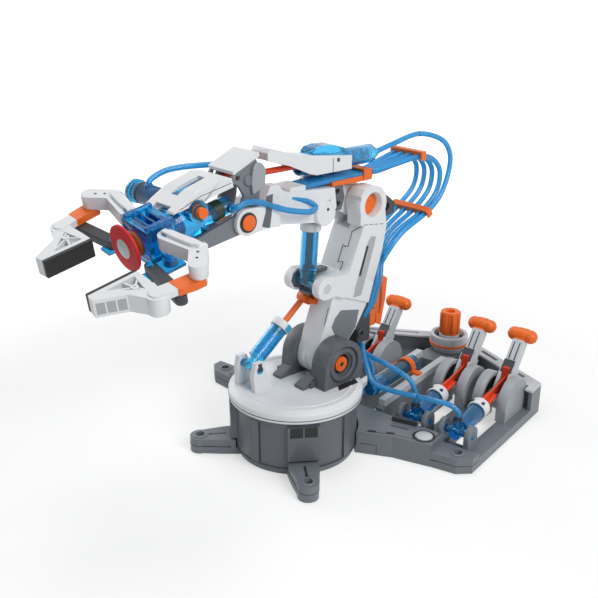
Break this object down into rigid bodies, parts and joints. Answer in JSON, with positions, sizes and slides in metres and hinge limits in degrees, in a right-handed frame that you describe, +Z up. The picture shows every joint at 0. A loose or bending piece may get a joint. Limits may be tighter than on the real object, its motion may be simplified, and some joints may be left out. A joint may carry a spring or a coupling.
{
  "type": "articulated hydraulic robot arm kit",
  "caption": "Desktop articulated robot arm on a turntable, driven by syringes and hoses from a deck of levers and a knob, with a two-finger gripper and a suction cup.",
  "frame": {"origin": "On the floor plane, on the turntable's axis.", "axes": "+Z up; +Y from the arm towards the control levers; +X to the near side of the picture."},
  "size_m": [0.254, 0.3849, 0.2311],
  "materials": {
    "white_plastic": "satin moulded",
    "pale_plastic": "satin moulded",
    "grey_plastic": "satin moulded",
    "dark_plastic": "satin moulded",
    "orange_plastic": "satin moulded",
    "blue_plastic": "clear tinted",
    "red_plastic": "satin moulded",
    "green_plastic": "satin moulded",
    "red_rubber": "matte",
    "black_rubber": "matte",
    "hose_vinyl": "clear tinted"
  },
  "bodies": {
    "base": {"base_drum": "grey_plastic", "base_frame": "grey_plastic", "deck_rails": "pale_plastic", "lever_cheeks": "grey_plastic", "control_barrels": "blue_plastic", "barrel_collars": "white_plastic", "barrel_clip": "orange_plastic", "hose_lower": "hose_vinyl"},
    "turntable": {"turntable": "white_plastic", "shoulder_cheeks": "dark_plastic", "shoulder_pin": "orange_plastic"},
    "shoulder_cylinder": {"shoulder_barrel": "blue_plastic", "shoulder_collar": "white_plastic"},
    "shoulder_rod": {"shoulder_rod": "orange_plastic"},
    "upper_arm": {"upper_arm_near": "white_plastic", "upper_arm_far": "white_plastic", "hose_guides": "dark_plastic", "hose_bracket": "orange_plastic", "elbow_pin": "orange_plastic", "hose_loop": "hose_vinyl", "hose_clips": "orange_plastic", "hose_wrist": "hose_vinyl"},
    "elbow_cylinder": {"elbow_barrel": "blue_plastic", "elbow_collar": "grey_plastic"},
    "elbow_rod": {"elbow_rod": "green_plastic"},
    "forearm": {"forearm": "white_plastic", "forearm_bracket": "grey_plastic", "elbow_clip": "orange_plastic", "wrist_pin": "orange_plastic", "hose_fore": "hose_vinyl"},
    "wrist_cylinder": {"wrist_frame": "white_plastic", "wrist_barrel": "blue_plastic"},
    "wrist_rod": {"wrist_rod": "red_plastic"},
    "wrist": {"wrist_cradle": "grey_plastic", "hand_cover": "white_plastic", "roll_housing": "blue_plastic"},
    "roll_plunger": {"roll_plunger": "orange_plastic"},
    "hand": {"hand_block": "blue_plastic", "suction_cup": "red_rubber"},
    "crank_near": {"crank_near": "white_plastic"},
    "crank_far": {"crank_far": "white_plastic"},
    "link_near": {"link_near": "dark_plastic"},
    "link_far": {"link_far": "dark_plastic"},
    "finger_near": {"finger_near": "white_plastic", "pad_near": "black_rubber"},
    "finger_far": {"finger_far": "white_plastic", "pad_far": "black_rubber"},
    "knob": {"knob": "orange_plastic"},
    "lever_1": {"lever_1": "pale_plastic", "handle_1": "orange_plastic"},
    "plunger_1": {"plunger_1": "red_plastic"},
    "lever_2": {"lever_2": "pale_plastic", "handle_2": "orange_plastic"},
    "plunger_2": {"plunger_2": "red_plastic"},
    "lever_3": {"lever_3": "pale_plastic", "handle_3": "orange_plastic"},
    "plunger_3": {"plunger_3": "red_plastic"},
    "lever_4": {"lever_4": "pale_plastic", "handle_4": "orange_plastic"},
    "plunger_4": {"plunger_4": "red_plastic"}
  },
  "joints": [
    {"name": "base_yaw", "type": "hinge", "parent": "base", "child": "turntable", "pos_m": [0, 0, 0.044], "axis": [0, 0, 1], "range_deg": [-125, 145], "deforming": ["hose_lower"]},
    {"name": "shoulder", "type": "hinge", "parent": "turntable", "child": "upper_arm", "pos_m": [0.00596, 0.0223, 0.068], "axis": [-0.9848, 0.1736, 0], "range_deg": [-28, 10]},
    {"name": "shoulder_cylinder_tilt", "type": "hinge", "parent": "turntable", "child": "shoulder_cylinder", "pos_m": [-0.02015, -0.02792, 0.07], "axis": [-0.9848, 0.1736, 0], "range_deg": [-9.89, 3.66]},
    {"name": "shoulder_rod_tilt", "type": "hinge", "parent": "upper_arm", "child": "shoulder_rod", "pos_m": [-0.01095, 0.02427, 0.11], "axis": [-0.9848, 0.1736, 0], "range_deg": [-6.74, 18.51]},
    {"name": "elbow", "type": "hinge", "parent": "upper_arm", "child": "forearm", "pos_m": [0.00619, 0.0639, 0.179], "axis": [-0.9848, 0.1736, 0], "range_deg": [0, 40], "deforming": ["hose_loop", "hose_wrist", "hose_clips"]},
    {"name": "elbow_cylinder_tilt", "type": "hinge", "parent": "upper_arm", "child": "elbow_cylinder", "pos_m": [-0.00215, 0.01663, 0.126], "axis": [-0.9848, 0.1736, 0], "range_deg": [-0.2, 5.4]},
    {"name": "elbow_rod_tilt", "type": "hinge", "parent": "forearm", "child": "elbow_rod", "pos_m": [-0.00145, 0.02056, 0.18], "axis": [-0.9848, 0.1736, 0], "range_deg": [-35, 0.2]},
    {"name": "wrist_pitch", "type": "hinge", "parent": "forearm", "child": "wrist", "pos_m": [-0.01297, -0.05051, 0.188], "axis": [0.9848, -0.1736, 0], "range_deg": [-10, 80]},
    {"name": "wrist_cylinder_tilt", "type": "hinge", "parent": "forearm", "child": "wrist_cylinder", "pos_m": [0.00231, 0.03615, 0.213], "axis": [0.9848, -0.1736, 0], "range_deg": [-1.13, 7.64]},
    {"name": "wrist_rod_tilt", "type": "hinge", "parent": "wrist", "child": "wrist_rod", "pos_m": [-0.01227, -0.04658, 0.214], "axis": [0.9848, -0.1736, 0], "range_deg": [-72.76, 9.27]},
    {"name": "wrist_roll", "type": "hinge", "parent": "wrist", "child": "hand", "pos_m": [-0.02193, -0.10134, 0.19032], "axis": [-0.1699, -0.9633, -0.2079], "range_deg": [-80, 100]},
    {"name": "roll_plunger_slide", "type": "slide", "parent": "wrist", "child": "roll_plunger", "axis": [0.9848, -0.1736, 0], "range_m": [-0.011, 0.009]},
    {"name": "gripper", "type": "hinge", "parent": "hand", "child": "crank_near", "pos_m": [-0.00445, -0.11561, 0.18443], "axis": [-0.1355, 0.2318, -0.9633], "range_deg": [0, 58]},
    {"name": "crank_far_swing", "type": "hinge", "parent": "hand", "child": "crank_far", "pos_m": [-0.04349, -0.11019, 0.19122], "axis": [0.1355, -0.2318, 0.9633], "range_deg": [0, 58]},
    {"name": "link_near_swing", "type": "hinge", "parent": "hand", "child": "link_near", "pos_m": [-0.00683, -0.1291, 0.18152], "axis": [-0.1355, 0.2318, -0.9633], "range_deg": [0, 58]},
    {"name": "link_far_swing", "type": "hinge", "parent": "hand", "child": "link_far", "pos_m": [-0.04587, -0.12368, 0.18831], "axis": [0.1355, -0.2318, 0.9633], "range_deg": [0, 58]},
    {"name": "finger_near_swing", "type": "hinge", "parent": "crank_near", "child": "finger_near", "pos_m": [0.02984, -0.1253, 0.17727], "axis": [-0.1355, 0.2318, -0.9633], "range_deg": [-58, 0]},
    {"name": "finger_far_swing", "type": "hinge", "parent": "crank_far", "child": "finger_far", "pos_m": [-0.07948, -0.11013, 0.1963], "axis": [0.1355, -0.2318, 0.9633], "range_deg": [-58, 0]},
    {"name": "lever_1_swing", "type": "hinge", "parent": "base", "child": "lever_1", "pos_m": [0.105, 0.131, 0.018], "axis": [1, 0, 0], "range_deg": [-10.2, 28.2]},
    {"name": "plunger_1_slide", "type": "slide", "parent": "base", "child": "plunger_1", "axis": [0, 0.9925, 0.1219], "range_m": [-0.00797, 0.00304]},
    {"name": "lever_2_swing", "type": "hinge", "parent": "base", "child": "lever_2", "pos_m": [0.069, 0.131, 0.018], "axis": [1, 0, 0], "range_deg": [-0.2, 44.2]},
    {"name": "plunger_2_slide", "type": "slide", "parent": "base", "child": "plunger_2", "axis": [0, 0.9925, 0.1219], "range_m": [-0.01297, 0.0003]},
    {"name": "lever_3_swing", "type": "hinge", "parent": "base", "child": "lever_3", "pos_m": [-0.013, 0.131, 0.018], "axis": [1, 0, 0], "range_deg": [-6.2, 48.2]},
    {"name": "plunger_3_slide", "type": "slide", "parent": "base", "child": "plunger_3", "axis": [0, 0.9925, 0.1219], "range_m": [-0.01396, 0.00201]},
    {"name": "lever_4_swing", "type": "hinge", "parent": "base", "child": "lever_4", "pos_m": [-0.049, 0.131, 0.018], "axis": [1, 0, 0], "range_deg": [-0.2, 46.6]},
    {"name": "plunger_4_slide", "type": "slide", "parent": "base", "child": "plunger_4", "axis": [0, 0.9925, 0.1219], "range_m": [-0.01382, 0.0003]},
    {"name": "knob_turn", "type": "hinge", "parent": "base", "child": "knob", "pos_m": [0.028, 0.187, 0.03], "axis": [0, 0, 1], "range_deg": [-80, 100]}
  ],
  "couplings": [
    {"joint": "shoulder_cylinder_tilt", "follows": "shoulder", "ratio": 0.346},
    {"joint": "shoulder_rod_tilt", "follows": "shoulder", "ratio": -0.654},
    {"joint": "elbow_cylinder_tilt", "follows": "elbow", "ratio": 0.13},
    {"joint": "elbow_rod_tilt", "follows": "elbow", "ratio": -0.87},
    {"joint": "wrist_cylinder_tilt", "follows": "wrist_pitch", "ratio": 0.093},
    {"joint": "wrist_rod_tilt", "follows": "wrist_pitch", "ratio": -0.907},
    {"joint": "roll_plunger_slide", "follows": "wrist_roll", "m_per_rad": -0.006},
    {"joint": "crank_far_swing", "follows": "gripper", "ratio": 1},
    {"joint": "link_near_swing", "follows": "gripper", "ratio": 1},
    {"joint": "link_far_swing", "follows": "gripper", "ratio": 1},
    {"joint": "finger_near_swing", "follows": "gripper", "ratio": -1},
    {"joint": "finger_far_swing", "follows": "gripper", "ratio": -1},
    {"joint": "lever_1_swing", "follows": "shoulder", "ratio": -1},
    {"joint": "plunger_1_slide", "follows": "shoulder", "m_per_rad": 0.0157},
    {"joint": "lever_2_swing", "follows": "elbow", "ratio": 1.1},
    {"joint": "plunger_2_slide", "follows": "elbow", "m_per_rad": -0.01815},
    {"joint": "lever_3_swing", "follows": "wrist_pitch", "ratio": 0.6},
    {"joint": "plunger_3_slide", "follows": "wrist_pitch", "m_per_rad": -0.00978},
    {"joint": "lever_4_swing", "follows": "gripper", "ratio": 0.8},
    {"joint": "plunger_4_slide", "follows": "gripper", "m_per_rad": -0.01336},
    {"joint": "knob_turn", "follows": "wrist_roll", "ratio": 1}
  ]
}
